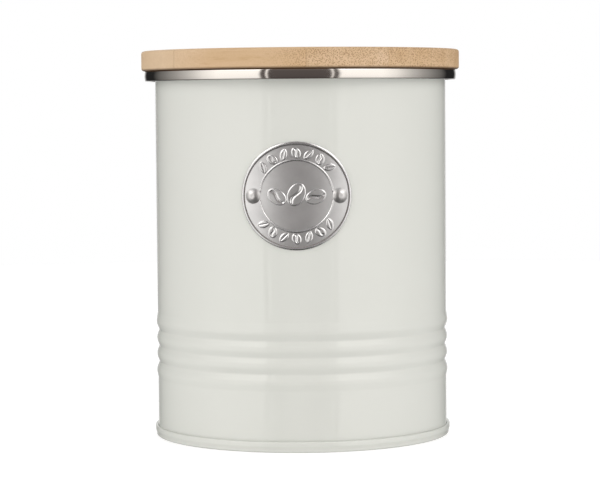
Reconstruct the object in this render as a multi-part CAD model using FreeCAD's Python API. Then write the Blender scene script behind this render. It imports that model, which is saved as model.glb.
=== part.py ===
"""Round storage tin for coffee: a rolled and seamed steel body with a stamped badge,
closed by a push-in lid of laminated bamboo with a steel trim ring and a silicone seal.

Millimetres, +Z up. The origin is the centre of the base, and the badge faces -Y.
"""
import FreeCAD, Part
import math
import os
from FreeCAD import Vector

# Driving dimensions: body
TIN_RADIUS = 54.9          # outside of the painted wall
SHEET = 0.4                # body and trim sheet
MOUTH_TOP = 137.05         # top of the rolled mouth
MOUTH_CURL = 2.8           # outside diameter of the mouth's curl
CURL_TAIL = 1.7            # how far the curl's end turns back in towards the wall
SEAM_STRIP_WIDTH = 2.4     # welded side seam at the back
SEAM_STRIP_STEP = 0.1      # how far the side seam stands proud, inside and out
SEAM_STRIP_BOTTOM = 5.2
SEAM_STRIP_TOP = 130.0

# Rolled beads round the lower wall
BEAD_COUNT = 4
BEAD_TOP_CREST = 43.0      # height of the highest crest
BEAD_PITCH = 6.0
BEAD_RUN_IN = 3.6          # from the plain wall above to the first crest
BEAD_RUN_OUT = 3.0         # from the last crest to the plain wall below
BEAD_OUT = 0.30            # crest, proud of the wall
BEAD_IN = 0.45             # valley, below the wall
BEAD_CREST_BEND = 4.0
BEAD_VALLEY_BEND = 1.5
BEAD_SLOPE = math.radians(20.6)

# Bottom end, held by a double seam
END_SHEET = 0.35
SEAM_GAP = 0.03            # between the layers of the seam
SEAM_HEIGHT = 3.8          # middle of the sheet at the seam's upper edge
SEAM_WIDE_FROM = 2.3       # above this height the seam has its full width
SEAM_NARROW_TO = 1.05      # below this height it has its narrow foot
SEAM_FOOT_BEND = 0.455
SEAM_JOG_BEND = 0.7        # where the layers step out over the end's hook
END_HOOK_FOOT = 2.55       # the end's hook, tucked behind the body's hook
BODY_HOOK_TOP = 3.2
BODY_HOOK_JOG = 1.38
PANEL_HEIGHT = 3.6         # recess under the base
PANEL_STEP = 1.0           # step round the panel
PANEL_BEND = 1.0
PANEL_RADIUS = 46.0
PANEL_CORNER = 0.67        # bend from the panel into the seam's inner wall

# Badge and rivets
BADGE_HEIGHT = 92.2        # centre of the badge above the base
BADGE_RADIUS = 19.35       # half the badge's height
BADGE_STRETCH = 1.03       # how much wider it is, measured round the wall
BADGE_RIM = 1.1            # width of the raised outer rim
BADGE_RING_RADIUS = 12.8   # raised line round the centre field
BADGE_RING_WIDTH = 0.7
BADGE_SHEET = 0.45
BADGE_RELIEF = 0.25
BADGE_GAP = 0.03           # between badge and wall
RIVET_SPACING = 31.2       # along the wall, centre to centre
RIVET_HEAD = 5.5           # diameter of the dome
RIVET_DOME = 1.0
RIVET_BRIM = 0.22          # upright edge of the dome
RIVET_SHANK = 2.4
RIVET_TAIL = 4.2
RIVET_TAIL_HEIGHT = 0.9
RIVET_TAIL_EDGE = 0.35
RIVET_CLEARANCE = 0.05

# Lid
LID_RADIUS = 60.0
LID_TOP = 145.0
BOARD_THICKNESS = 7.4
BOARD_EDGE = 1.0           # rounding of the board's edges
GRAIN_TURN = 68.0          # the board's fibres, in degrees from -Y towards +X
STRIP_WIDTH = 20.0
BOARD_FIRST_SEAM = 54.0    # outermost glue line, from the lid's centre
BOARD_SEAMS = 6            # glue lines
PLUG_RADIUS = 52.3
PLUG_BOTTOM = 131.0
PLUG_EDGE = 0.8
PLUG_STRIP_WIDTH = 21.0
PLUG_SEAMS = 4
SPIGOT_CLEARANCE = 0.1     # between the plug's raised middle and the web's bore
WEB_BORE = 45.0            # hole in the trim ring's flat web
GROOVE_BOTTOM = 132.8
GROOVE_HEIGHT = 2.4
GROOVE_DEPTH = 2.5
SEAL_CLEARANCE = 0.1       # between the seal and its groove
SEAL_LIP_RADIUS = 54.3
SEAL_LIP = 0.6             # thickness of each lip
SEAL_LIP_RISE = 0.25       # how far a lip's edge trails upwards

# Trim ring: flat web, barrelled skirt and an inward hem
SKIRT_SHOULDER = 58.5
SHOULDER_BEND = 0.45
SKIRT_WAIST = 58.74
SKIRT_WAIST_HEIGHT = 135.6
WAIST_BEND = 5.0
SKIRT_FOOT = 58.5
SKIRT_FOOT_HEIGHT = 133.9
HEM_RADIUS = 57.85
HEM_TOP = 135.9
HEM_BEND = 0.25

# Screws that clamp the plug, the trim ring and the board together
SCREW_COUNT = 4
SCREW_CIRCLE = 32.0
SCREW_HEAD = 6.4
SCREW_HEAD_EDGE = 0.2
SCREW_SHANK = 3.0
SCREW_CLEARANCE = 0.2
SCREW_TIP = 142.0
SCREW_POINT = 1.8
SCREW_SLOT = 0.9
SCREW_SLOT_LENGTH = 3.6
SCREW_SLOT_DEPTH = 1.1

# Worked out from the above
WALL = TIN_RADIUS - SHEET / 2              # middle of the wall's sheet
INNER_RADIUS = TIN_RADIUS - SHEET
BOARD_BOTTOM = LID_TOP - BOARD_THICKNESS
WEB_MIDDLE = BOARD_BOTTOM - SHEET / 2

# Middles of the sheets in the double seam, from the inside out
CHUCK_WALL = INNER_RADIUS - SEAM_GAP - END_SHEET / 2
END_HOOK = TIN_RADIUS + SEAM_GAP + END_SHEET / 2
BODY_HOOK_LOW = TIN_RADIUS + 2 * SEAM_GAP + SHEET / 2
BODY_HOOK_HIGH = END_HOOK + END_SHEET / 2 + SEAM_GAP + SHEET / 2
COVER_STEP = SHEET / 2 + SEAM_GAP + END_SHEET / 2
COVER_LOW = BODY_HOOK_LOW + COVER_STEP
COVER_HIGH = BODY_HOOK_HIGH + COVER_STEP

UP = Vector(0, 0, 1)
CENTRE = Vector(0, 0, 0)
FULL_TURN = 360
REACH = 2 * LID_RADIUS                     # longer than any part is wide


def section_point(radius, height):
    """A point of a profile, in the half plane that is turned about the axis."""
    return Vector(radius, 0, height)


def bend_points(path):
    """Tangent points, centre and turn of each bend along a sheet's middle line."""
    bends = []
    for before, corner, after in zip(path, path[1:], path[2:]):
        here = section_point(*corner[:2])
        run_in = (here - section_point(*before[:2])).normalize()
        run_out = (section_point(*after[:2]) - here).normalize()
        turn = math.atan2(run_in.z * run_out.x - run_in.x * run_out.z, run_in.dot(run_out))
        reach = corner[2] * math.tan(abs(turn) / 2)
        side = math.copysign(1, turn)
        normal = Vector(run_in.z, 0, -run_in.x)
        start = here - run_in * reach
        centre = start + normal * (corner[2] * side)
        bends.append((start, here + run_out * reach, centre, here))
    return bends


def offset_side(path, offset):
    """Edges of one face of a sheet, at an offset from its middle line."""
    ends = [section_point(*path[0][:2]), section_point(*path[-1][:2])]
    bends = bend_points(path)
    stations = [ends[0]]
    for start, finish, centre, corner in bends:
        stations += [start, finish]
    stations.append(ends[1])
    edges = []
    for index in range(0, len(stations), 2):
        first, last = stations[index], stations[index + 1]
        along = (last - first).normalize()
        shift = Vector(along.z, 0, -along.x) * offset
        edges.append([first + shift, last + shift])
    shapes = []
    for index, run in enumerate(edges):
        shapes.append(Part.LineSegment(*run).toShape())
        if index < len(bends):
            centre, corner = bends[index][2:]
            radius = (run[1] - centre).Length
            middle = centre + (corner - centre).normalize() * radius
            shapes.append(Part.Arc(run[1], middle, edges[index + 1][0]).toShape())
    return shapes, edges[0][0], edges[-1][1]


def sheet_face(path, thickness):
    """Section of a bent sheet. Each point of the path is radius, height and bend radius."""
    right, right_start, right_end = offset_side(path, thickness / 2)
    left, left_start, left_end = offset_side(path, -thickness / 2)
    caps = [
        Part.LineSegment(right_start, left_start).toShape(),
        Part.LineSegment(right_end, left_end).toShape(),
    ]
    return Part.Face(Part.Wire(Part.__sortEdges__(right + left + caps)))


def turned(face, angle=FULL_TURN):
    return face.revolve(CENTRE, UP, angle)


def polygon_face(points):
    corners = [section_point(*point) for point in points]
    return Part.Face(Part.makePolygon(corners + corners[:1]))


def rotated(shape, degrees):
    """A copy turned about the tin's axis; a positive turn takes -Y towards +X."""
    copy = shape.copy()
    copy.rotate(CENTRE, UP, degrees)
    return copy


def slab(low, high, turn):
    """A tall block between two planes, for cutting one strip out of a laminated disc."""
    block = Part.makeBox(high - low, 2 * REACH, REACH * 2, Vector(low, -REACH, 0))
    return rotated(block, turn)


def bead_path():
    """Middle line of the beads, from the plain wall above them to the plain wall below."""
    rounding = 1 / math.cos(BEAD_SLOPE) - 1
    crest = WALL + BEAD_OUT + BEAD_CREST_BEND * rounding
    valley = WALL - BEAD_IN - BEAD_VALLEY_BEND * rounding
    path = [(WALL, BEAD_TOP_CREST + BEAD_RUN_IN, BEAD_CREST_BEND)]
    for index in range(BEAD_COUNT):
        height = BEAD_TOP_CREST - index * BEAD_PITCH
        path.append((crest, height, BEAD_CREST_BEND))
        if index < BEAD_COUNT - 1:
            path.append((valley, height - BEAD_PITCH / 2, BEAD_VALLEY_BEND))
    path.append((WALL, path[-1][1] - BEAD_RUN_OUT, BEAD_CREST_BEND))
    return path


def body_shell():
    """Rolled sheet: curled mouth, plain wall, beads, and a hook folded up at the foot."""
    curl = MOUTH_CURL - SHEET
    curl_top = MOUTH_TOP - SHEET / 2
    curl_bend = curl / 2 - SEAM_GAP
    mouth = [
        (WALL + curl - CURL_TAIL, curl_top - curl, 0),
        (WALL + curl, curl_top - curl, curl_bend),
        (WALL + curl, curl_top, curl_bend),
        (WALL, curl_top, curl_bend),
    ]
    fold = END_SHEET + SEAM_GAP + SHEET / 2
    fold_bend = (BODY_HOOK_LOW - WALL) * 0.49
    foot = [
        (WALL, fold, fold_bend),
        (BODY_HOOK_LOW, fold, fold_bend),
        (BODY_HOOK_LOW, BODY_HOOK_JOG, SEAM_JOG_BEND),
        (BODY_HOOK_HIGH, SEAM_WIDE_FROM, SEAM_JOG_BEND),
        (BODY_HOOK_HIGH, BODY_HOOK_TOP, 0),
    ]
    shell = turned(sheet_face(mouth + bead_path() + foot, SHEET)).fuse(side_seam())
    hole = RIVET_SHANK / 2 + RIVET_CLEARANCE
    for side in (-1, 1):
        shell = shell.cut(across_wall(Part.makeCylinder(hole, TIN_RADIUS), side))
    return shell


def side_seam():
    """Welded strip up the back of the wall, where the rolled sheet's edges overlap."""
    path = [(WALL, SEAM_STRIP_TOP, 0)] + bead_path() + [(WALL, SEAM_STRIP_BOTTOM, 0)]
    angle = math.degrees(SEAM_STRIP_WIDTH / TIN_RADIUS)
    strip = turned(sheet_face(path, SHEET + 2 * SEAM_STRIP_STEP), angle)
    return rotated(strip, 90 - angle / 2)


def bottom_end():
    """Recessed disc whose edge wraps the foot of the wall in a double seam."""
    foot = END_SHEET / 2
    rim_height = PANEL_HEIGHT + PANEL_STEP
    top_bend = (COVER_HIGH - END_HOOK - SEAM_GAP) / 2
    path = [
        (0, PANEL_HEIGHT, 0),
        (PANEL_RADIUS, PANEL_HEIGHT, PANEL_BEND),
        (PANEL_RADIUS + 2 * PANEL_STEP, rim_height, PANEL_BEND),
        (CHUCK_WALL, rim_height, PANEL_CORNER),
        (CHUCK_WALL, foot, SEAM_FOOT_BEND),
        (COVER_LOW, foot, SEAM_FOOT_BEND),
        (COVER_LOW, SEAM_NARROW_TO, SEAM_JOG_BEND),
        (COVER_HIGH, SEAM_WIDE_FROM - 2 * SEAM_GAP, SEAM_JOG_BEND),
        (COVER_HIGH, SEAM_HEIGHT, top_bend),
        (END_HOOK, SEAM_HEIGHT, top_bend),
        (END_HOOK, END_HOOK_FOOT, 0),
    ]
    return turned(sheet_face(path, END_SHEET))


def across_wall(shape, side):
    """Takes a shape built up from the origin along +Z to one rivet's place: it then
    points out through the wall, its foot on the tin's axis."""
    placed = shape.copy()
    placed.rotate(CENTRE, Vector(1, 0, 0), 90)
    placed.translate(Vector(0, 0, BADGE_HEIGHT))
    return rotated(placed, side * math.degrees(RIVET_SPACING / 2 / TIN_RADIUS))


def wrapped_disc(radius, inner, outer):
    """A disc of sheet bent round the tin at the badge's place, between two radii."""
    half_width = outer * math.sin(BADGE_STRETCH * radius / TIN_RADIUS)
    middle = Vector(0, -REACH, BADGE_HEIGHT)
    rim = Part.Ellipse(middle + Vector(half_width, 0, 0), middle + UP * radius, middle)
    core = Part.Face(Part.Wire(rim.toShape())).extrude(Vector(0, REACH, 0))
    sleeve = Part.makeCylinder(outer, REACH + LID_TOP)
    bore = Part.makeCylinder(inner, REACH + LID_TOP)
    return core.common(sleeve.cut(bore))


def badge_plate():
    back = TIN_RADIUS + BADGE_GAP
    face = back + BADGE_SHEET
    crest = face + BADGE_RELIEF
    ring_outer = BADGE_RING_RADIUS + BADGE_RING_WIDTH / 2
    ring_inner = BADGE_RING_RADIUS - BADGE_RING_WIDTH / 2
    plate = wrapped_disc(BADGE_RADIUS, back, crest)
    plate = plate.cut(wrapped_disc(BADGE_RADIUS - BADGE_RIM, face, crest + BADGE_RELIEF))
    ring = wrapped_disc(ring_outer, face - BADGE_RELIEF, crest)
    ring = ring.cut(wrapped_disc(ring_inner, back, crest + BADGE_RELIEF))
    plate = plate.fuse(ring)
    for side in (-1, 1):
        hole = Part.makeCylinder(RIVET_SHANK / 2 + RIVET_CLEARANCE, REACH)
        seat = Part.makeCylinder(RIVET_HEAD / 2, REACH, Vector(0, 0, face))
        plate = plate.cut(across_wall(hole, side)).cut(across_wall(seat, side))
    return plate


def badge_rivet(side):
    """Domed rivet: its head on the badge, its shank through the wall and a tail inside."""
    seat = TIN_RADIUS + BADGE_GAP + BADGE_SHEET
    half = RIVET_HEAD / 2
    brim = seat + RIVET_BRIM
    crown = seat + RIVET_DOME
    rise = crown - brim
    sphere = (half ** 2 + rise ** 2) / (2 * rise)
    angle = math.asin(half / sphere) / 2
    shoulder = crown - sphere * (1 - math.cos(angle))
    outline = [
        Part.LineSegment(section_point(0, crown), section_point(0, seat)).toShape(),
        Part.LineSegment(section_point(0, seat), section_point(half, seat)).toShape(),
        Part.LineSegment(section_point(half, seat), section_point(half, brim)).toShape(),
        Part.Arc(
            section_point(half, brim),
            section_point(sphere * math.sin(angle), shoulder),
            section_point(0, crown),
        ).toShape(),
    ]
    head = turned(Part.Face(Part.Wire(Part.__sortEdges__(outline))))
    # a flat tail has to sit this far in for its two sides to clear the curved wall
    hollow = INNER_RADIUS - math.sqrt(INNER_RADIUS ** 2 - (RIVET_TAIL / 2) ** 2)
    tail_foot = Vector(0, 0, INNER_RADIUS - hollow - RIVET_CLEARANCE - RIVET_TAIL_HEIGHT)
    shank = Part.makeCylinder(RIVET_SHANK / 2, seat - tail_foot.z, tail_foot)
    tail = Part.makeCylinder(RIVET_TAIL / 2, RIVET_TAIL_HEIGHT, tail_foot)
    rims = [edge for edge in tail.Edges if isinstance(edge.Curve, Part.Circle)]
    tail = tail.makeFillet(RIVET_TAIL_EDGE, rims)
    return across_wall(head.fuse([shank, tail]).removeSplitter(), side)


def screw_places():
    """The screws' places on their circle, halfway between the two grain directions."""
    for index in range(SCREW_COUNT):
        angle = math.radians(GRAIN_TURN + 45 + index * FULL_TURN / SCREW_COUNT)
        yield Vector(SCREW_CIRCLE * math.cos(angle), SCREW_CIRCLE * math.sin(angle), 0)


def screw_blank(spare):
    """A countersunk screw standing on its head; spare widens it to cut its hole."""
    head = SCREW_HEAD / 2 + spare
    shank = SCREW_SHANK / 2 + spare
    outline = [
        (0, PLUG_BOTTOM),
        (head, PLUG_BOTTOM),
        (head, PLUG_BOTTOM + SCREW_HEAD_EDGE),
        (shank, PLUG_BOTTOM + SCREW_HEAD_EDGE + head - shank),
        (shank, SCREW_TIP - SCREW_POINT),
        (0, SCREW_TIP + spare),
    ]
    return turned(polygon_face(outline))


def lid_screw(place):
    screw = screw_blank(0)
    for length, width in ((SCREW_SLOT_LENGTH, SCREW_SLOT), (SCREW_SLOT, SCREW_SLOT_LENGTH)):
        corner = Vector(-length / 2, -width / 2, PLUG_BOTTOM)
        screw = screw.cut(Part.makeBox(length, width, SCREW_SLOT_DEPTH, corner))
    screw.translate(place)
    return screw


def drilled(wood):
    """Cuts the screw holes through a wooden disc."""
    for place in screw_places():
        hole = screw_blank(SCREW_CLEARANCE)
        hole.translate(place)
        wood = wood.cut(hole)
    return wood


def strips(wood, seams, turn):
    """Cuts a glued-up disc along its glue lines, from the highest seam to the lowest."""
    limits = [REACH] + seams + [-REACH]
    for high, low in zip(limits, limits[1:]):
        yield wood.common(slab(low, high, turn))


def board_strips():
    board = Part.makeCylinder(LID_RADIUS, BOARD_THICKNESS, Vector(0, 0, BOARD_BOTTOM))
    rims = [edge for edge in board.Edges if isinstance(edge.Curve, Part.Circle)]
    board = drilled(board.makeFillet(BOARD_EDGE, rims))
    seams = [BOARD_FIRST_SEAM - index * STRIP_WIDTH for index in range(BOARD_SEAMS)]
    return strips(board, seams, GRAIN_TURN + 180)


def plug_strips():
    web_bottom = BOARD_BOTTOM - SHEET
    plug = Part.makeCylinder(PLUG_RADIUS, web_bottom - PLUG_BOTTOM, Vector(0, 0, PLUG_BOTTOM))
    rims = [edge for edge in plug.Edges if isinstance(edge.Curve, Part.Circle)]
    lower = [edge for edge in rims if edge.Curve.Center.z < PLUG_BOTTOM + PLUG_EDGE]
    plug = plug.makeFillet(PLUG_EDGE, lower)
    groove_base = Vector(0, 0, GROOVE_BOTTOM)
    spigot_height = BOARD_BOTTOM - GROOVE_BOTTOM
    spigot = Part.makeCylinder(WEB_BORE - SPIGOT_CLEARANCE, spigot_height, groove_base)
    groove_core = Part.makeCylinder(PLUG_RADIUS - GROOVE_DEPTH, GROOVE_HEIGHT, groove_base)
    groove = Part.makeCylinder(REACH, GROOVE_HEIGHT, groove_base).cut(groove_core)
    plug = drilled(plug.fuse(spigot).cut(groove))
    first = PLUG_STRIP_WIDTH * (PLUG_SEAMS - 1) / 2
    seams = [first - index * PLUG_STRIP_WIDTH for index in range(PLUG_SEAMS)]
    return strips(plug, seams, GRAIN_TURN + 90)


def trim_ring():
    path = [
        (WEB_BORE, WEB_MIDDLE, 0),
        (SKIRT_SHOULDER, WEB_MIDDLE, SHOULDER_BEND),
        (SKIRT_WAIST, SKIRT_WAIST_HEIGHT, WAIST_BEND),
        (SKIRT_FOOT, SKIRT_FOOT_HEIGHT, HEM_BEND),
        (HEM_RADIUS, SKIRT_FOOT_HEIGHT, HEM_BEND),
        (HEM_RADIUS, HEM_TOP, 0),
    ]
    return turned(sheet_face(path, SHEET))


def seal_ring():
    """Silicone ring: a flat root in the plug's groove and two lips that wipe the wall."""
    root = PLUG_RADIUS - GROOVE_DEPTH + SEAL_CLEARANCE
    low = GROOVE_BOTTOM + SEAL_CLEARANCE
    high = GROOVE_BOTTOM + GROOVE_HEIGHT - SEAL_CLEARANCE
    neck = PLUG_RADIUS
    outline = [
        (root, low),
        (neck, low),
        (SEAL_LIP_RADIUS, low + SEAL_LIP_RISE),
        (SEAL_LIP_RADIUS, low + SEAL_LIP_RISE + SEAL_LIP / 2),
        (neck, low + SEAL_LIP),
        (neck, high - SEAL_LIP),
        (SEAL_LIP_RADIUS, high - SEAL_LIP + SEAL_LIP_RISE),
        (SEAL_LIP_RADIUS, high - SEAL_LIP / 2 + SEAL_LIP_RISE),
        (neck, high),
        (root, high),
    ]
    return turned(polygon_face(outline))


def sub_parts():
    parts = {
        "body_shell": body_shell(),
        "bottom_end": bottom_end(),
        "badge_plate": badge_plate(),
        "badge_rivet_left": badge_rivet(-1),
        "badge_rivet_right": badge_rivet(1),
        "trim_ring": trim_ring(),
        "seal_ring": seal_ring(),
    }
    for number, strip in enumerate(board_strips(), 1):
        parts[f"board_strip_{number}"] = strip
    for number, strip in enumerate(plug_strips(), 1):
        parts[f"plug_strip_{number}"] = strip
    for number, place in enumerate(screw_places(), 1):
        parts[f"lid_screw_{number}"] = lid_screw(place)
    return parts


os.makedirs("parts", exist_ok=True)
for name, shape in sub_parts().items():
    shape.exportStep(f"parts/{name}.step")
    print(f"{name:18} solids {len(shape.Solids)} valid {shape.isValid()} volume {shape.Volume:.1f}")
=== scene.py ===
"""Looks of the coffee tin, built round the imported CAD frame. Metres, +Z up, front towards -Y."""

import math

import bmesh
import bpy
from mathutils import Matrix, Vector


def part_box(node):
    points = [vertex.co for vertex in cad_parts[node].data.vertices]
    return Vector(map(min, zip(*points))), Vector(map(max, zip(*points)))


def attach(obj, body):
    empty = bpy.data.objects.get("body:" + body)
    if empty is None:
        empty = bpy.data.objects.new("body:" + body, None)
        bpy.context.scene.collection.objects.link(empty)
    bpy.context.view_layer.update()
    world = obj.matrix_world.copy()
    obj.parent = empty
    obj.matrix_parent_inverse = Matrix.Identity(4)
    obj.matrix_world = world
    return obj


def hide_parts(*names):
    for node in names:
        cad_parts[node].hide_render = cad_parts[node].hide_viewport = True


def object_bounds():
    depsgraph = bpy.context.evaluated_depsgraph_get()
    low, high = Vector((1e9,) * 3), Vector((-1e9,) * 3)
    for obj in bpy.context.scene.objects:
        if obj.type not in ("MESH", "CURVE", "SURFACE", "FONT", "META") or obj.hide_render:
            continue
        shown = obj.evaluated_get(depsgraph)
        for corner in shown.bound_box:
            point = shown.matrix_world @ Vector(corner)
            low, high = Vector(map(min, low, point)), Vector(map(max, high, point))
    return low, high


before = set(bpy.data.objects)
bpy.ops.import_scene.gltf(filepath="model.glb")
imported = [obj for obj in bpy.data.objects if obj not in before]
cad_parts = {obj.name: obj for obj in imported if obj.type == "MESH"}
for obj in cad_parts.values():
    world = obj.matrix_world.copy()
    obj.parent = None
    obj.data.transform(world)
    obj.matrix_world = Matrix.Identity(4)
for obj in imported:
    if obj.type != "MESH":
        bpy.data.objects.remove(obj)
cad_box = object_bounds()

MM = 0.001

# ---------------------------------------------------------------- sizes, from the frame
shell_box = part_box("body_shell")
badge_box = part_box("badge_plate")
seal_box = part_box("seal_ring")
plug_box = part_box("plug_strip_3")

SHEET = 0.4 * MM                     # wall and trim ring
END_SHEET = 0.35 * MM                # bottom end
MOUTH_CURL = 2.8 * MM                # outside diameter of the rolled mouth
CURL_TAIL = 1.7 * MM                 # how far the curl's end turns back towards the wall
LID_TOP = cad_box[1].z
LID_RADIUS = cad_box[1].x
BOARD_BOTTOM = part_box("board_strip_4")[0].z
MOUTH_TOP = shell_box[1].z
TIN_RADIUS = shell_box[1].x - MOUTH_CURL + SHEET
WALL = TIN_RADIUS - SHEET / 2
BADGE_HEIGHT = (badge_box[0].z + badge_box[1].z) / 2
BADGE_RADIUS = (badge_box[1].z - badge_box[0].z) / 2

# ---------------------------------------------------------------- sections and turned meshes
BEND_STEP = math.radians(9)          # largest turn between two points of a bend
RUN_STEP = 5 * MM                    # longest step along a straight run
TURN_STEPS = 288                     # points round a full turn
SHARP = math.radians(32)             # edges over this angle stay crisp
ON_AXIS = 1e-7                       # nearer the axis than this, a ring is one point


def middle_line(path):
    """Points and normals along a bent sheet's middle line. A path point is radius, height, bend."""
    runs = []
    corners = [Vector(point[:2]) for point in path]
    line = []
    last = corners[0]
    for index in range(1, len(path)):
        here = corners[index]
        along = (here - corners[index - 1]).normalized()
        normal = Vector((along.y, -along.x))
        if index == len(path) - 1:
            runs.append((last, here, normal))
            break
        onward = (corners[index + 1] - here).normalized()
        turn = math.atan2(along.x * onward.y - along.y * onward.x, along.dot(onward))
        bend = path[index][2]
        reach = bend * math.tan(abs(turn) / 2)
        start = here - along * reach
        runs.append((last, start, normal))
        side = math.copysign(1, turn)
        centre = start - normal * bend * side
        steps = max(2, math.ceil(abs(turn) / BEND_STEP))
        arc = []
        for step in range(1, steps):
            spin = Matrix.Rotation(turn * step / steps, 2)
            arc.append((centre + spin @ (start - centre), spin @ normal))
        runs.append(arc)
        last = here + onward * reach
    for run in runs:
        if isinstance(run, list):
            line += run
            continue
        first, final, normal = run
        steps = max(1, math.ceil((final - first).length / RUN_STEP))
        line += [(first.lerp(final, step / steps), normal) for step in range(steps + 1)]
    return line


def sheet_outline(path, thickness):
    """Closed outline of a bent sheet's section."""
    line = middle_line(path)
    front = [point + normal * thickness / 2 for point, normal in line]
    back = [point - normal * thickness / 2 for point, normal in line]
    return front + back[::-1]


def rounded_outline(corners):
    """Closed outline through corners given as radius, height, rounding."""
    outline = []
    count = len(corners)
    for index, (radius, height, rounding) in enumerate(corners):
        here = Vector((radius, height))
        before = Vector(corners[index - 1][:2])
        after = Vector(corners[(index + 1) % count][:2])
        if rounding == 0:
            outline.append(here)
            continue
        along = (here - before).normalized()
        onward = (after - here).normalized()
        turn = math.atan2(along.x * onward.y - along.y * onward.x, along.dot(onward))
        start = here - along * rounding * math.tan(abs(turn) / 2)
        side = math.copysign(1, turn)
        centre = start + Vector((-along.y, along.x)) * rounding * side
        steps = max(2, math.ceil(abs(turn) / BEND_STEP))
        for step in range(steps + 1):
            outline.append(centre + Matrix.Rotation(turn * step / steps, 2) @ (start - centre))
    return outline


def even_turns(steps=TURN_STEPS):
    """Evenly spaced angles of a full turn."""
    return [2 * math.pi * step / steps for step in range(steps)]


def turned_mesh(outline, turns):
    """bmesh of a closed outline turned about Z. Angles run from +X towards +Y."""
    made = bmesh.new()
    rings = []
    for point in outline:
        if point.x < ON_AXIS:
            rings.append([made.verts.new((0, 0, point.y))])
            continue
        rings.append([
            made.verts.new((point.x * math.cos(turn), point.x * math.sin(turn), point.y))
            for turn in turns
        ])
    count = len(turns)
    for index, ring in enumerate(rings):
        after = rings[(index + 1) % len(rings)]
        for step in range(count):
            onward = (step + 1) % count
            if len(ring) == 1 and len(after) == 1:
                continue
            if len(ring) == 1:
                made.faces.new((ring[0], after[onward], after[step]))
            elif len(after) == 1:
                made.faces.new((ring[step], ring[onward], after[0]))
            else:
                made.faces.new((ring[step], ring[onward], after[onward], after[step]))
    bmesh.ops.recalc_face_normals(made, faces=made.faces)
    return made


def finished(name, made, sharp=SHARP):
    """Turns a bmesh into a smooth-shaded object whose edges over an angle stay crisp."""
    for face in made.faces:
        face.smooth = True
    for edge in made.edges:
        edge.smooth = edge.calc_face_angle(0) < sharp
    mesh = bpy.data.meshes.new(name)
    made.to_mesh(mesh)
    made.free()
    piece = bpy.data.objects.new(name, mesh)
    bpy.context.scene.collection.objects.link(piece)
    return piece


def place(piece, body, slot, material, *nodes):
    """Gives a piece its finish and body, and hides the CAD nodes it stands for. Its slot is not
    used.
    """
    piece.data.materials.clear()
    piece.data.materials.append(material)
    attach(piece, body)
    if nodes:
        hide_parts(*nodes)


# ---------------------------------------------------------------- shader helpers
class Finish:
    """A node material. add() makes a node; sockets that are given nodes are linked."""

    def __init__(self, name):
        self.material = bpy.data.materials.new(name)
        self.material.use_nodes = True
        self.tree = self.material.node_tree
        self.surface = self.tree.nodes["Principled BSDF"]
        self.place = self.add("ShaderNodeTexCoord").outputs["Object"]

    def add(self, kind, inputs=None, **settings):
        made = self.tree.nodes.new(kind)
        for key, value in settings.items():
            setattr(made, key, value)
        for key, value in (inputs or {}).items():
            self.feed(made.inputs[key], value)
        return made

    def feed(self, socket, value):
        if isinstance(value, bpy.types.NodeSocket):
            self.tree.links.new(value, socket)
        else:
            socket.default_value = value

    def set(self, **values):
        for key, value in values.items():
            self.feed(self.surface.inputs[key.replace("_", " ")], value)

    def maths(self, operation, first, second=0.0, third=0.0):
        made = self.add("ShaderNodeMath", {0: first, 1: second, 2: third}, operation=operation)
        return made.outputs[0]

    def noise(self, vector, scale, detail=2.0, roughness=0.5):
        made = self.add("ShaderNodeTexNoise", {
            "Vector": vector, "Scale": scale, "Detail": detail, "Roughness": roughness,
        })
        return made.outputs["Fac"]

    def spread(self, value, low, high, to_low=0.0, to_high=1.0, smooth=False):
        made = self.add("ShaderNodeMapRange", {
            "Value": value, "From Min": low, "From Max": high,
            "To Min": to_low, "To Max": to_high,
        })
        made.interpolation_type = "SMOOTHSTEP" if smooth else "LINEAR"
        return made.outputs["Result"]

    def blend(self, share, first, second):
        made = self.add("ShaderNodeMix", data_type="RGBA")
        self.feed(made.inputs["Factor"], share)
        self.feed(made.inputs[6], first)
        self.feed(made.inputs[7], second)
        return made.outputs[2]

    def stretched(self, scale, turn=0.0, shift=(0.0, 0.0, 0.0)):
        """Object coordinates turned about Z, so X runs along a direction, then scaled."""
        spun = self.add("ShaderNodeVectorRotate", {
            "Vector": self.place, "Axis": (0, 0, 1), "Angle": -turn,
        }, rotation_type="AXIS_ANGLE")
        scaled = self.add("ShaderNodeVectorMath", {
            0: spun.outputs[0], 1: scale, 2: shift,
        }, operation="MULTIPLY_ADD")
        return scaled.outputs[0]

    def bump(self, height, strength, distance, under=None):
        made = self.add("ShaderNodeBump", {
            "Height": height, "Strength": strength, "Distance": distance,
        })
        if under is not None:
            self.feed(made.inputs["Normal"], under)
        return made.outputs["Normal"]


def rgb(red, green, blue):
    """Linear colour from 0 to 255 sRGB values."""
    def linear(level):
        level /= 255
        return level / 12.92 if level <= 0.04045 else ((level + 0.055) / 1.055) ** 2.4
    return (linear(red), linear(green), linear(blue), 1.0)


# ---------------------------------------------------------------- materials
def paint_finish():
    """Glossy off-white enamel: faint orange peel and slight unevenness of tone."""
    coat = Finish("cream_enamel")
    cloud = coat.noise(coat.place, 18, 3)
    tone = coat.blend(cloud, rgb(216, 219, 214), rgb(219, 221, 217))
    peel = coat.noise(coat.place, 520, 2, 0.45)
    swell = coat.noise(coat.place, 70, 1)
    relief = coat.bump(peel, 0.04, 0.05 * MM, coat.bump(swell, 0.05, 0.3 * MM))
    coat.set(Base_Color=tone, Roughness=coat.spread(peel, 0.3, 0.7, 0.035, 0.06), Normal=relief)
    coat.set(Specular_IOR_Level=0.5, IOR=1.5)
    return coat.material


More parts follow.
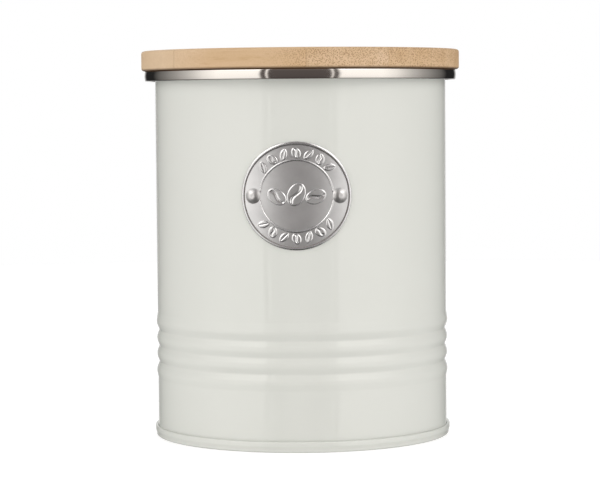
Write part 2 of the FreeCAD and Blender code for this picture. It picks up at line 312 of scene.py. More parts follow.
def steel_finish():
    """Bright stainless steel, polished round the ring, with hairline scratches."""
    steel = Finish("polished_stainless")
    hair = steel.noise(steel.stretched((60, 60, 9000)), 1.0, 3, 0.6)
    smear = steel.noise(steel.place, 45, 3)
    wear = steel.maths("MULTIPLY_ADD", hair, 0.05, steel.spread(smear, 0.3, 0.7, 0.03, 0.07))
    steel.set(Base_Color=rgb(233, 229, 224), Metallic=1.0, Roughness=wear)
    steel.set(Normal=steel.bump(hair, 0.08, 0.01 * MM))
    return steel.material


def badge_finish():
    """Satin stamped metal with a horizontal brushed grain, brighter on the relief's slopes."""
    metal = Finish("stamped_metal")
    grain = metal.noise(metal.stretched((500, 500, 9000)), 1.0, 4, 0.7)
    cloud = metal.noise(metal.place, 160, 4, 0.55)
    polish = metal.add("ShaderNodeAttribute", attribute_name="polish").outputs["Fac"]
    tone = metal.blend(metal.spread(cloud, 0.3, 0.7), rgb(228, 229, 231), rgb(240, 241, 243))
    metal.set(Base_Color=tone, Metallic=0.93)
    worn = metal.spread(polish, 0.0, 0.8, 0.34, 0.13)
    metal.set(Roughness=metal.maths("MULTIPLY_ADD", grain, 0.14, worn))
    metal.set(Normal=metal.bump(grain, 0.25, 0.02 * MM))
    return metal.material


def rivet_finish():
    """Satin light metal, without the badge's brushed grain."""
    metal = Finish("rivet_metal")
    cloud = metal.noise(metal.place, 900, 3)
    metal.set(Base_Color=rgb(222, 222, 223), Metallic=0.95)
    metal.set(Roughness=metal.spread(cloud, 0.3, 0.7, 0.33, 0.41))
    metal.set(Normal=metal.bump(cloud, 0.1, 0.02 * MM))
    return metal.material


def silicone_finish():
    """Soft translucent white rubber."""
    rubber = Finish("seal_silicone")
    cloud = rubber.noise(rubber.place, 300, 3)
    rubber.set(Base_Color=rubber.blend(cloud, rgb(226, 226, 221), rgb(236, 236, 232)))
    rubber.set(Roughness=rubber.spread(cloud, 0.3, 0.7, 0.42, 0.55))
    rubber.set(Subsurface_Weight=0.25, Subsurface_Scale=1.5 * MM)
    rubber.set(Normal=rubber.bump(cloud, 0.1, 0.02 * MM))
    return rubber.material


def screw_finish():
    """Plain grey steel, a little uneven."""
    metal = Finish("screw_steel")
    swirl = metal.noise(metal.place, 1800, 3)
    metal.set(Base_Color=rgb(176, 176, 178), Metallic=1.0)
    metal.set(Roughness=metal.spread(swirl, 0.3, 0.7, 0.25, 0.42))
    metal.set(Normal=metal.bump(swirl, 0.1, 0.02 * MM))
    return metal.material


BUNDLE_CELLS = 2100.0                # fibre bundles per metre, across end grain
SHADED_EDGE = 0.85 * MM              # painted shade on the board's lower edge, up to this height


def bamboo_finish(name, turn, number, near, far, heights, knuckle=None):
    """One glued bamboo strip between near and far, both measured across its fibres, and
    between its two heights. Fibres run along `turn`; bundles show as dots on end grain and as
    fine lines along the faces, closer together towards the culm's skin (up). A knuckle is a
    cross band on the strip. The board's lower edge gets painted shade, a dark brown band."""
    wood = Finish(name)
    apart = number * 0.37
    parts = wood.add("ShaderNodeSeparateXYZ", {"Vector": wood.place})
    up = wood.spread(parts.outputs["Z"], *heights)
    facing = wood.add("ShaderNodeNewGeometry").outputs["Normal"]
    aligned = wood.add("ShaderNodeVectorMath", {
        0: facing, 1: (math.cos(turn), math.sin(turn), 0),
    }, operation="DOT_PRODUCT").outputs["Value"]
    end_grain = wood.spread(wood.maths("ABSOLUTE", aligned), 0.12, 0.5, 0.0, 1.0, smooth=True)
    side_grain = wood.maths("SUBTRACT", 1.0, end_grain)
    strip = wood.add("ShaderNodeSeparateXYZ", {"Vector": wood.stretched((1, 1, 1), turn)})
    lengthwise, crosswise = strip.outputs["X"], strip.outputs["Y"]
    ripe = wood.spread(lengthwise, -35 * MM, 12 * MM, 0.12, 1.0, smooth=True)

    cells = wood.add("ShaderNodeTexVoronoi", {
        "Vector": wood.stretched((1, 1, 1), turn, (apart, apart * 2, 0)),
        "Scale": BUNDLE_CELLS, "Randomness": 0.9,
    })
    chance = wood.add("ShaderNodeSeparateColor", {"Color": cells.outputs["Color"]})
    crowd = wood.spread(up, 0.0, 0.75, 0.45, 1.15)
    shown = wood.spread(wood.maths("SUBTRACT", crowd, chance.outputs[0]), -0.1, 0.1)
    dots = wood.spread(cells.outputs["Distance"], 0.26, 0.54, 1.0, 0.0, smooth=True)
    dots = wood.maths("MULTIPLY", dots, wood.maths("MULTIPLY", shown, ripe))
    dots = wood.maths("MULTIPLY", dots, end_grain)

    line = wood.noise(wood.stretched((12, 1500, 1500), turn, (apart, 0, 0)), 1.0, 3, 0.7)
    lines = wood.maths("MULTIPLY", wood.spread(line, 0.5, 0.72, 0.0, 0.55, smooth=True), side_grain)
    streak = wood.noise(wood.stretched((9, 260, 260), turn, (apart, 0, 0)), 1.0, 4, 0.6)
    broad = wood.noise(wood.stretched((4, 55, 55), turn, (0, number, 0)), 1.0, 2)
    speck = wood.noise(wood.place, 2600, 2, 0.6)

    light = rgb(224, 197, 165)
    honey = rgb(210, 182, 146)
    amber = rgb(203, 170, 129)
    brown = rgb(176, 134, 92)
    tone = wood.blend(wood.spread(streak, 0.35, 0.65), light, honey)
    tone = wood.blend(wood.spread(broad, 0.35, 0.65, 0.0, 0.5), tone, amber)
    tone = wood.blend(0.22 + 0.14 * math.sin(2.3 * number), tone, amber)
    tone = wood.blend(wood.spread(ripe, 0.12, 0.6, 0.55, 0.0), tone, rgb(223, 200, 172))
    tone = wood.blend(wood.spread(speck, 0.35, 0.65, 0.0, 0.16), tone, brown)
    tone = wood.blend(wood.maths("MULTIPLY", lines, 0.6), tone, brown)
    tone = wood.blend(wood.maths("MULTIPLY", dots, 0.66), tone, rgb(134, 90, 52))
    marks = wood.maths("ADD", dots, lines)
    if knuckle is not None:
        wobble = wood.noise(wood.stretched((0, 90, 90), turn, (number, 0, 0)), 1.0, 1)
        shift = wood.maths("MULTIPLY_ADD", wobble, 2 * MM, -1 * MM - knuckle)
        away = wood.maths("ABSOLUTE", wood.maths("ADD", lengthwise, shift))
        band = wood.spread(away, 0.1 * MM, 1.5 * MM, 1.0, 0.0, smooth=True)
        patchy = wood.spread(streak, 0.3, 0.7, 0.4, 1.0)
        band = wood.maths("MULTIPLY", band, wood.maths("MULTIPLY", side_grain, patchy))
        tone = wood.blend(wood.maths("MULTIPLY", band, 0.36), tone, rgb(166, 122, 80))
        marks = wood.maths("ADD", marks, band)
    edge = wood.maths("MINIMUM", wood.maths("SUBTRACT", crosswise, near),
                      wood.maths("SUBTRACT", far, crosswise))
    glue = wood.spread(edge, 0.05 * MM, 0.22 * MM, 0.17, 0.0, smooth=True)
    tone = wood.blend(glue, tone, rgb(120, 80, 48))
    if heights[0] == BOARD_BOTTOM:
        # painted shade: the board's rounded lower edge faces down, so its colour is darkened to
        # dark brown
        shade_top = BOARD_BOTTOM + SHADED_EDGE
        under = wood.spread(parts.outputs["Z"], BOARD_BOTTOM, shade_top, 0.9, 0.0)
        tone = wood.blend(under, tone, rgb(84, 54, 30))
    wood.set(Base_Color=tone)
    wood.set(Roughness=wood.maths("MULTIPLY_ADD", streak, 0.12, 0.45), Specular_IOR_Level=0.35)
    relief = wood.bump(streak, 0.12, 0.05 * MM)
    wood.set(Normal=wood.bump(marks, -0.2, 0.05 * MM, relief))
    return wood.material


# ---------------------------------------------------------------- body
BEAD_COUNT = 4
BEAD_TOP_CREST = 43.0 * MM
BEAD_PITCH = 6.0 * MM
BEAD_RUN_IN = 3.6 * MM
BEAD_RUN_OUT = 3.0 * MM
BEAD_OUT = 0.30 * MM
BEAD_IN = 0.45 * MM
CREST_BEND = 4.0 * MM
VALLEY_BEND = 1.5 * MM
BEAD_SLOPE = math.radians(20.6)


def bead_path():
    """Middle line of the rolled beads, from the plain wall above them to the one below."""
    rounding = 1 / math.cos(BEAD_SLOPE) - 1
    crest = WALL + BEAD_OUT + CREST_BEND * rounding
    valley = WALL - BEAD_IN - VALLEY_BEND * rounding
    path = [(WALL, BEAD_TOP_CREST + BEAD_RUN_IN, CREST_BEND)]
    for index in range(BEAD_COUNT):
        height = BEAD_TOP_CREST - index * BEAD_PITCH
        path.append((crest, height, CREST_BEND))
        if index < BEAD_COUNT - 1:
            path.append((valley, height - BEAD_PITCH / 2, VALLEY_BEND))
    path.append((WALL, path[-1][1] - BEAD_RUN_OUT, CREST_BEND))
    return path


# the double seam's layers, from the inside out, as in the CAD model
SEAM_GAP = 0.03 * MM
CHUCK_WALL = WALL - SHEET / 2 - SEAM_GAP - END_SHEET / 2
END_HOOK = TIN_RADIUS + SEAM_GAP + END_SHEET / 2
HOOK_LOW = TIN_RADIUS + 2 * SEAM_GAP + SHEET / 2
HOOK_HIGH = END_HOOK + END_SHEET / 2 + SEAM_GAP + SHEET / 2
COVER_STEP = SHEET / 2 + SEAM_GAP + END_SHEET / 2
JOG_BEND = 0.7 * MM                  # where the layers step out over the end's hook
FOLD_SHARE = 0.49                    # a fold's bend, of its width: just under half
FOOT_BEND = 0.455 * MM
NARROW_TO = 1.05 * MM                # the seam's outside is narrow below this height
BODY_JOG = 1.38 * MM
WIDE_FROM = 2.3 * MM                 # and has its full width above this one
HOOK_FOOT = 2.55 * MM                # the end's hook, tucked behind the body's
BODY_HOOK_TOP = 3.2 * MM
SEAM_TOP = 3.8 * MM                  # middle of the sheet at the seam's upper edge
PANEL_HEIGHT = 3.6 * MM              # recess under the base
PANEL_STEP = 1.0 * MM
PANEL_RADIUS = 46 * MM
PANEL_CORNER = 0.67 * MM


def shell_path():
    """Middle line of the body's sheet: curled mouth, wall with its beads, and seam hook."""
    curl = MOUTH_CURL - SHEET
    top = MOUTH_TOP - SHEET / 2
    bend = curl / 2 - SEAM_GAP
    fold = END_SHEET + SEAM_GAP + SHEET / 2
    fold_bend = (HOOK_LOW - WALL) * FOLD_SHARE
    mouth = [
        (WALL + curl - CURL_TAIL, top - curl, 0),
        (WALL + curl, top - curl, bend),
        (WALL + curl, top, bend),
        (WALL, top, bend),
    ]
    foot = [
        (WALL, fold, fold_bend),
        (HOOK_LOW, fold, fold_bend),
        (HOOK_LOW, BODY_JOG, JOG_BEND),
        (HOOK_HIGH, WIDE_FROM, JOG_BEND),
        (HOOK_HIGH, BODY_HOOK_TOP, 0),
    ]
    return mouth + bead_path() + foot


WELD_HALF = math.radians(1.25)       # half the weld's width, as an angle at the back
WELD_EDGE = math.radians(0.22)
WELD_CLEAR = math.radians(0.5)       # no even turn comes this near to the weld's own turns
WELD_STEP = 0.1 * MM                 # how far the weld stands proud, inside and out
WELD_LOW = 5.2 * MM
WELD_HIGH = 130.0 * MM
WALL_ZONE = 0.8 * MM                 # beyond this from the wall it is the curl or the seam


def weld_turns():
    """Even turns, with more of them close together across the weld at the back."""
    near = [WELD_HALF + WELD_EDGE * share for share in (-1, 0, 1, 2)]
    spread = [0.0] + near + [-value for value in near]
    back = [math.pi / 2 + value for value in spread]
    clear = near[-1] + WELD_CLEAR
    others = [turn for turn in even_turns() if abs(turn - math.pi / 2) > clear]
    return sorted(others + back)


def smooth_step(value):
    """0 up to 0, 1 from 1, and a smooth rise between."""
    value = max(0.0, min(1.0, value))
    return value * value * (3 - 2 * value)


def tin_shell(material):
    """The rolled body, with the weld's thicker strip down its back."""
    made = turned_mesh(sheet_outline(shell_path(), SHEET), weld_turns())
    for vert in made.verts:
        radius = math.hypot(vert.co.x, vert.co.y)
        away = abs(math.atan2(vert.co.y, vert.co.x) - math.pi / 2)
        across = 1 - smooth_step((away - WELD_HALF) / (2 * WELD_EDGE) + 0.5)
        on_wall = radius <= TIN_RADIUS + WALL_ZONE and WELD_LOW < vert.co.z < WELD_HIGH
        if across <= 0 or not on_wall:
            continue
        side = 1 if radius > WALL else -1
        grown = 1 + side * WELD_STEP * across / radius
        vert.co.x *= grown
        vert.co.y *= grown
    piece = finished("tin_shell", made)
    place(piece, "tin", "cream_paint", material, "body_shell")


def tin_base(material):
    """The recessed bottom end, folded out and up over the body's hook."""
    foot = END_SHEET / 2
    raised = PANEL_HEIGHT + PANEL_STEP
    cover_low = HOOK_LOW + COVER_STEP
    cover_high = HOOK_HIGH + COVER_STEP
    top_bend = (cover_high - END_HOOK - SEAM_GAP) / 2
    path = [
        (0, PANEL_HEIGHT, 0),
        (PANEL_RADIUS, PANEL_HEIGHT, PANEL_STEP),
        (PANEL_RADIUS + 2 * PANEL_STEP, raised, PANEL_STEP),
        (CHUCK_WALL, raised, PANEL_CORNER),
        (CHUCK_WALL, foot, FOOT_BEND),
        (cover_low, foot, FOOT_BEND),
        (cover_low, NARROW_TO, JOG_BEND),
        (cover_high, WIDE_FROM - 2 * SEAM_GAP, JOG_BEND),
        (cover_high, SEAM_TOP, top_bend),
        (END_HOOK, SEAM_TOP, top_bend),
        (END_HOOK, HOOK_FOOT, 0),
    ]
    piece = finished("tin_base", turned_mesh(sheet_outline(path, END_SHEET), even_turns()))
    place(piece, "tin", "cream_paint", material, "bottom_end")


# ---------------------------------------------------------------- badge
BADGE_STRETCH = 1.03                 # how much wider than tall, measured round the wall
BADGE_RIM = 0.95 * MM                # from the edge to the middle of the rim's inner slope
RIM_SLOPE = 0.7 * MM
RIM_HEIGHT = 0.7                     # as a share of the relief
EDGE_BEND = 0.6 * MM                 # the rim's outer edge: a bend, then a short flank
EDGE_FLANK = 0.2 * MM
EDGE_LEAN = math.radians(28)
EDGE_STEPS = 6
RING_RADIUS = 12.8 * MM              # raised line round the middle
RING_WIDTH = 0.7 * MM
BADGE_SHEET = 0.45 * MM
RELIEF = 0.25 * MM
SHOULDER = 0.26 * MM                 # width of the rounded edge of all relief
BRIGHT_SLOPE = 0.5                   # a slope this steep is fully polished
BADGE_GAP = 0.03 * MM                # between badge and wall
RIVET_REACH = 15.6 * MM              # from the badge's middle, round the wall
RIVET_RADIUS = 2.75 * MM
RIVET_DOME = 1.0 * MM
RIVET_BRIM = 0.05 * MM
RIVET_SEAT = 0.5 * MM                # the rim and ring fade out this near to a rivet
RIVET_SHANK = 1.2 * MM
RIVET_TAIL = 2.1 * MM
TAIL_HEIGHT = 0.9 * MM
TAIL_GAP = 0.13 * MM                 # a flat tail stays this clear of the curved wall
DOME_FLAT = 0.28                     # share of the dome's radius that is flat
DOME_CURVE = 1.6
DOME_STEPS = 20
DOME_TURNS = 64
BADGE_RINGS = 150
BADGE_SPOKES = 600


def plateau(distance):
    """1 inside an outline, 0 outside it, with a rounded shoulder; distance is negative inside."""
    return 1 - smooth_step(distance / SHOULDER + 0.5)


def local(x, y, centre_x, centre_y, tilt):
    """A point seen from a motif's own centre, turned back by its tilt."""
    x -= centre_x
    y -= centre_y
    return x * math.cos(tilt) + y * math.sin(tilt), y * math.cos(tilt) - x * math.sin(tilt)


def bean_relief(x, y, length, width):
    """Coffee bean lying along Y: a flat-topped oval with a waving crease down its middle."""
    reach = math.hypot(x / (width / 2), y / (length / 2))
    distance = (reach - 1) * width / 2
    if distance > SHOULDER:
        return 0.0
    wave = 0.13 * width * math.sin(2 * math.pi * y / length)
    crease = math.exp(-(((x - wave) / (0.07 * width + 0.09 * MM)) ** 2))
    return plateau(distance) * (1 - crease * smooth_step((1 - reach) * 4))


def leaf_relief(x, y, length, width):
    """Pointed leaf lying along Y, with a midrib."""
    half = length / 2
    bow = (half * half + width * width / 4) / width
    distance = math.hypot(abs(x) + bow - width / 2, y) - bow
    if distance > SHOULDER:
        return 0.0
    rib = math.exp(-((x / (0.17 * MM)) ** 2)) * smooth_step(-distance / (0.4 * MM))
    return plateau(distance) * (1 - 0.9 * rib)


ARC_MOTIFS = 7
ARC_STEP = math.radians(16.2)
ARC_RADIUS = 15.3 * MM


def badge_motifs():
    """Generic beans and leaves: a row along each arc of the ring and three beans in the middle."""
    motifs = []
    for middle in (math.pi / 2, -math.pi / 2):
        for index in range(ARC_MOTIFS):
            angle = middle + (index - (ARC_MOTIFS - 1) / 2) * ARC_STEP
            shape = bean_relief if index % 2 else leaf_relief
            size = (3.7 * MM, 2.8 * MM) if index % 2 else (4.2 * MM, 2.2 * MM)
            lean = math.radians(24) if index % 2 else math.radians(-30)
            place_x = ARC_RADIUS * math.cos(angle)
            place_y = ARC_RADIUS * math.sin(angle)
            motifs.append((shape, place_x, place_y, angle - math.pi / 2 + lean, size))
    motifs += [
        (bean_relief, -6.7 * MM, -0.3 * MM, math.radians(52), (7.0 * MM, 4.9 * MM)),
        (bean_relief, 0.0, 0.5 * MM, math.radians(-24), (8.2 * MM, 5.7 * MM)),
        (bean_relief, 6.7 * MM, -0.3 * MM, math.radians(-68), (7.0 * MM, 4.9 * MM)),
    ]
    return motifs


def badge_relief(x, y, motifs):
    """Height of the badge's face above its field, from 0 to 1, at arc x and height y."""
    reach = math.hypot(x, y)
    rim = RIM_HEIGHT * smooth_step((reach - (BADGE_RADIUS - BADGE_RIM)) / RIM_SLOPE + 0.5)
    ring = plateau(abs(reach - RING_RADIUS) - RING_WIDTH / 4)
    height = max(rim, ring)
    seat = math.hypot(abs(x) * BADGE_STRETCH - RIVET_REACH, y)
    height *= smooth_step((seat - RIVET_RADIUS) / RIVET_SEAT)
    for shape, centre_x, centre_y, tilt, size in motifs:
        if abs(x - centre_x) < size[0] and abs(y - centre_y) < size[0]:
            height = max(height, shape(*local(x, y, centre_x, centre_y, tilt), *size))
    return height


def wrapped(x, y, radius):
    """A point of the badge, bent round the wall."""
    turn = BADGE_STRETCH * x / TIN_RADIUS
    return Vector((radius * math.sin(turn), -radius * math.cos(turn), BADGE_HEIGHT + y))


def stamped_badge(material):
    """Stamped disc: relief on its face, an edge rolled back to the wall and a plain back.
    The polish attribute marks the slopes of the relief, where handling has brightened it."""
    motifs = badge_motifs()
    back = TIN_RADIUS + BADGE_GAP
    face = back + BADGE_SHEET
    edge_width = EDGE_BEND * math.sin(EDGE_LEAN) + EDGE_FLANK
    spokes = [2 * math.pi * spoke / BADGE_SPOKES for spoke in range(BADGE_SPOKES)]
    spacing = (BADGE_RADIUS - edge_width) / BADGE_RINGS
    reaches = [spacing * ring for ring in range(1, BADGE_RINGS + 1)]
    heights = [[badge_relief(reach * math.cos(angle), reach * math.sin(angle), motifs)
                for angle in spokes] for reach in reaches]
    made = bmesh.new()
    layer = made.verts.layers.float.new("polish")

    def ring_of(reach, radii, polish):
        row = []
        for angle, radius, bright in zip(spokes, radii, polish):
            x, y = reach * math.cos(angle), reach * math.sin(angle)
            row.append(made.verts.new(wrapped(x, y, radius)))
            row[-1][layer] = bright
        return row

    rings = []
    for index, (reach, row) in enumerate(zip(reaches, heights)):
        inner, outer = heights[max(index - 1, 0)], heights[min(index + 1, BADGE_RINGS - 1)]
        around = 2 * reach * 2 * math.pi / BADGE_SPOKES
        polish = []
        for spoke in range(BADGE_SPOKES):
            slope = math.hypot((outer[spoke] - inner[spoke]) / (2 * spacing),
                               (row[spoke - 1] - row[(spoke + 1) % BADGE_SPOKES]) / around)
            polish.append(min(1.0, slope * RELIEF / BRIGHT_SLOPE))
        rings.append(ring_of(reach, [face + RELIEF * height for height in row], polish))
    crest = face + RELIEF * max(heights[-1])
    even = [1.0] * BADGE_SPOKES
    for step in range(1, EDGE_STEPS + 1):
        angle = EDGE_LEAN * step / EDGE_STEPS
        drop = EDGE_BEND * (1 - math.cos(angle))
        reach = BADGE_RADIUS - edge_width + EDGE_BEND * math.sin(angle)
        rings.append(ring_of(reach, [crest - drop] * BADGE_SPOKES, even))
    drop += EDGE_FLANK * math.tan(EDGE_LEAN)
    rings.append(ring_of(BADGE_RADIUS, [crest - drop] * BADGE_SPOKES, even))
    rings.append(ring_of(BADGE_RADIUS, [back] * BADGE_SPOKES, even))
    centre = made.verts.new(wrapped(0, 0, face + RELIEF * heights[0][0]))
    inner = made.verts.new(wrapped(0, 0, back))
    for spoke in range(BADGE_SPOKES):
        onward = (spoke + 1) % BADGE_SPOKES
        made.faces.new((centre, rings[0][spoke], rings[0][onward]))
        for row, after in zip(rings, rings[1:]):
            made.faces.new((row[spoke], after[spoke], after[onward], row[onward]))
        made.faces.new((rings[-1][spoke], inner, rings[-1][onward]))
    bmesh.ops.recalc_face_normals(made, faces=made.faces)
    piece = finished("stamped_badge", made, math.radians(60))
    place(piece, "tin", "badge_metal", material, "badge_plate")


def dome_rivet(name, side, material, node):
    """Rivet with a domed head outside, its shank through the wall and a flat tail inside."""
    seat = TIN_RADIUS + BADGE_GAP + BADGE_SHEET
    inside = TIN_RADIUS - SHEET - TAIL_GAP
    rise = RIVET_DOME - RIVET_BRIM
    outline = rounded_outline([
        (0, inside - TAIL_HEIGHT, 0),
        (RIVET_TAIL, inside - TAIL_HEIGHT, 0.35 * MM),
        (RIVET_TAIL, inside, 0.25 * MM),
        (RIVET_SHANK, inside, 0),
        (RIVET_SHANK, seat, 0),
        (RIVET_RADIUS, seat, 0.06 * MM),
    ])
    for step in range(DOME_STEPS + 1):
        out = math.cos(math.pi / 2 * step / DOME_STEPS)
        fall = (max(0, out - DOME_FLAT) / (1 - DOME_FLAT)) ** DOME_CURVE
        outline.append(Vector((RIVET_RADIUS * out, seat + RIVET_DOME - rise * fall)))
    made = turned_mesh(outline, even_turns(DOME_TURNS))
    lean = Matrix.Rotation(math.radians(90), 4, "X")
    turn = Matrix.Rotation(side * RIVET_REACH / TIN_RADIUS, 4, "Z")
    lift = Matrix.Translation((0, 0, BADGE_HEIGHT))
    made.transform(lift @ turn @ lean)
    piece = finished(name, made, math.radians(50))
    place(piece, "tin", "rivet_steel", material, node)


# ---------------------------------------------------------------- lid
GRAIN_TURN = math.radians(68 - 90)   # direction of the board's fibres, from +X
STRIP_WIDTH = 20 * MM
FIRST_SEAM = 54 * MM                 # outermost glue line, from the lid's centre
BOARD_STRIPS = 7
BOARD_EDGE = 1.0 * MM
BOARD_INSET = 1.3 * MM               # an extra ring this far in keeps the edge's shading tidy
PLUG_STRIPS = 5
PLUG_WIDTH = 21 * MM
PLUG_TURN = GRAIN_TURN + math.pi / 2
BOARD_KNOT_REACH = 30 * MM           # farthest that a knuckle is from a strip's middle
PLUG_KNOT_REACH = 25 * MM
PAST_LID = 2 * LID_RADIUS            # stands for an outer strip's missing glue line


def board_strip(number, material):
    """One strip of the board: the rounded disc between two glue lines."""
    flat = LID_RADIUS - BOARD_INSET
    outline = rounded_outline([
        (0, BOARD_BOTTOM, 0),
        (flat, BOARD_BOTTOM, 0),
        (LID_RADIUS, BOARD_BOTTOM, BOARD_EDGE),
        (LID_RADIUS, LID_TOP, BOARD_EDGE),
        (flat, LID_TOP, 0),
        (0, LID_TOP, 0),
    ])
    made = turned_mesh(outline, even_turns())
    across = Vector((math.sin(GRAIN_TURN), -math.cos(GRAIN_TURN), 0))
    high = FIRST_SEAM - (number - 2) * STRIP_WIDTH
    low = high - STRIP_WIDTH
    cuts = []
    if number > 1:
        cuts.append((high, across))
    if number < BOARD_STRIPS:
        cuts.append((low, -across))
    for offset, outward in cuts:
        geometry = list(made.verts) + list(made.edges) + list(made.faces)
        bmesh.ops.bisect_plane(made, geom=geometry, plane_co=across * offset,
                               plane_no=outward, clear_outer=True)
        open_edges = [edge for edge in made.edges if edge.is_boundary]
        bmesh.ops.holes_fill(made, edges=open_edges)
    bmesh.ops.recalc_face_normals(made, faces=made.faces)
    piece = finished(f"bamboo_strip_{number}", made)
    place(piece, "lid", "bamboo", material, f"board_strip_{number}")


BAND_BORE = 45 * MM                  # hole in the band's flat web
BAND_EDGE = 58.5 * MM                # at its shoulder and its foot
BAND_SHOULDER_BEND = 0.4 * MM
BAND_WAIST = 58.74 * MM
BAND_WAIST_HEIGHT = 135.6 * MM
BAND_WAIST_BEND = 5 * MM
BAND_FOOT = 133.9 * MM
HEM_RADIUS = 57.85 * MM
HEM_TOP = 135.9 * MM
HEM_BEND = 0.25 * MM


def trim_band(material):
    """Polished ring under the board: a flat web, a waisted skirt and a hem turned up inside."""
    web = BOARD_BOTTOM - SHEET / 2
    path = [
        (BAND_BORE, web, 0),
        (BAND_EDGE, web, BAND_SHOULDER_BEND),
        (BAND_WAIST, BAND_WAIST_HEIGHT, BAND_WAIST_BEND),
        (BAND_EDGE, BAND_FOOT, HEM_BEND),
        (HEM_RADIUS, BAND_FOOT, HEM_BEND),
        (HEM_RADIUS, HEM_TOP, 0),
    ]
    piece = finished("trim_band", turned_mesh(sheet_outline(path, SHEET), even_turns()))
    place(piece, "lid", "polished_steel", material, "trim_ring")


SEAL_ROOT = 49.9 * MM
SEAL_NECK = 52.3 * MM
SEAL_LIP = 0.6 * MM                  # thickness of a lip at its root
LIP_TIP = 0.3 * MM                   # and at its tip
LIP_BEND = 0.12 * MM


def lip_seal(material):
    """Silicone ring with a thin lip at its top and another at its bottom."""
    low, high = seal_box[0].z, seal_box[1].z
    lip = seal_box[1].x
    rise = 0.25 * MM
    fall = 0.05 * MM
    outline = rounded_outline([
        (SEAL_ROOT, low, 0.2 * MM),
        (SEAL_NECK, low, 0.1 * MM),
        (lip, low + rise, LIP_BEND),
        (lip, low + rise + LIP_TIP, LIP_BEND),
        (SEAL_NECK, low + SEAL_LIP, 0.25 * MM),
        (SEAL_NECK, high - SEAL_LIP, 0.25 * MM),
        (lip, high - fall - LIP_TIP, LIP_BEND),
        (lip, high - fall, LIP_BEND),
        (SEAL_NECK, high, 0.1 * MM),
        (SEAL_ROOT, high, 0.2 * MM),
    ])
    piece = finished("lip_seal", turned_mesh(outline, even_turns()))
    place(piece, "lid", "silicone", material, "seal_ring")


# ---------------------------------------------------------------- studio
GAP = (0.10, 0.085, 0.08)
SLIT = (1.2, 1.15, 1.1)
BOX = (1.22, 1.18, 1.13)
FLAG = (0.02, 0.02, 0.02)
REAR = (0.75, 0.75, 0.75)
OVERHEAD = (0.32, 0.32, 0.32, 1)
BOX_FADE = [(69, 0.91), (75, 0.82), (84, 0.6), (91, 0.47), (103, 0.31), (117, 0.18), (127, 0.11)]
# colours by degrees from the middle of the gap, the same on both hands
SURROUND = [(0, GAP), (23, GAP), (23.6, SLIT), (24.4, SLIT), (25, GAP), (28, GAP)]
SURROUND += [(30, BOX), (63, BOX)]
SURROUND += [(angle, tuple(level * part for level in BOX)) for angle, part in BOX_FADE]
SURROUND += [(137, FLAG), (158, FLAG), (170, REAR), (180, REAR)]
# brightness by degrees above the horizon
RISES = [
    (-90, 0.12), (-50, 0.14), (-36, 0.18), (-24, 0.7), (-12, 0.96), (0, 1.0), (16, 1.05),
    (32, 2.25), (46, 2.25), (57, 0.6), (90, 0.4),
]
GAP_MIDDLE = math.radians(1.4)       # compass direction of the gap's middle, from -Y


def world_light():
    """Studio surround, by compass direction: a dim gap behind the camera with a bright slit
    at each side, a wide soft box at either hand, and dark flags beyond them."""
    world = bpy.data.worlds.new("studio")
    bpy.context.scene.world = world
    world.use_nodes = True
    tree = world.node_tree
    background = tree.nodes["Background"]
    coords = tree.nodes.new("ShaderNodeTexCoord")
    split = tree.nodes.new("ShaderNodeSeparateXYZ")
    tree.links.new(coords.outputs["Generated"], split.inputs[0])

    def maths(operation, *values):
        made = tree.nodes.new("ShaderNodeMath")
        made.operation = operation
        for socket, value in zip(made.inputs, values):
            if isinstance(value, bpy.types.NodeSocket):
                tree.links.new(value, socket)
            else:
                socket.default_value = value
        return made.outputs[0]

    def ramp(value, stops):
        made = tree.nodes.new("ShaderNodeValToRGB")
        band = made.color_ramp
        while len(band.elements) < len(stops):
            band.elements.new(0.5)
        for element, (at, colour) in zip(band.elements, stops):
            element.position = at
            element.color = (*colour, 1)
        tree.links.new(value, made.inputs[0])
        return made.outputs[0]

    forward = maths("MULTIPLY", split.outputs["Y"], -1.0)
    compass = maths("ARCTAN2", split.outputs["X"], forward)
    turned = maths("SUBTRACT", compass, GAP_MIDDLE)
    share = maths("DIVIDE", maths("ABSOLUTE", turned), math.pi)
    round_about = ramp(share, [(angle / 180, colour) for angle, colour in SURROUND])
    climb = maths("MULTIPLY_ADD", split.outputs["Z"], 0.5, 0.5)
    levels = [((math.sin(math.radians(rise)) + 1) / 2, (gain,) * 3) for rise, gain in RISES]
    gain = ramp(climb, levels)
    lit = tree.nodes.new("ShaderNodeMix")
    lit.data_type = "RGBA"
    lit.blend_type = "MULTIPLY"
    lit.inputs["Factor"].default_value = 1.0
    tree.links.new(round_about, lit.inputs[6])
    tree.links.new(gain, lit.inputs[7])
    above = ramp(split.outputs["Z"], [(0.5, (0, 0, 0)), (0.95, (1, 1, 1))])
    mix = tree.nodes.new("ShaderNodeMix")
    mix.data_type = "RGBA"
    tree.links.new(above, mix.inputs["Factor"])
    tree.links.new(lit.outputs[2], mix.inputs[6])
    mix.inputs[7].default_value = OVERHEAD
    tree.links.new(mix.outputs[2], background.inputs["Color"])
    background.inputs["Strength"].default_value = 1.0


def disc(name, radius, height, colour, glow):
    """Round stage piece in a pale, faintly uneven tone, glowing by itself."""
    made = bmesh.new()
    bmesh.ops.create_circle(made, cap_ends=True, segments=128, radius=radius)
    floor = finished(name, made)
    floor.location.z = height
    pale = Finish(name)
    grain = pale.noise(pale.place, 30, 3)
    pale.set(Base_Color=pale.blend(grain, (colour,) * 3 + (1,), (colour * 1.03,) * 3 + (1,)))
    pale.set(Roughness=0.9, Specular_IOR_Level=0.1)
    pale.set(Emission_Color=(1, 1, 1, 1), Emission_Strength=glow)
    floor.data.materials.append(pale.material)
    return floor


FLOOR_RADIUS = 0.95
TABLE_RADIUS = 0.5
BACKDROP_RADIUS = 6
GROUND_GAP = 0.05 * MM               # between the tin, the floor and the table top


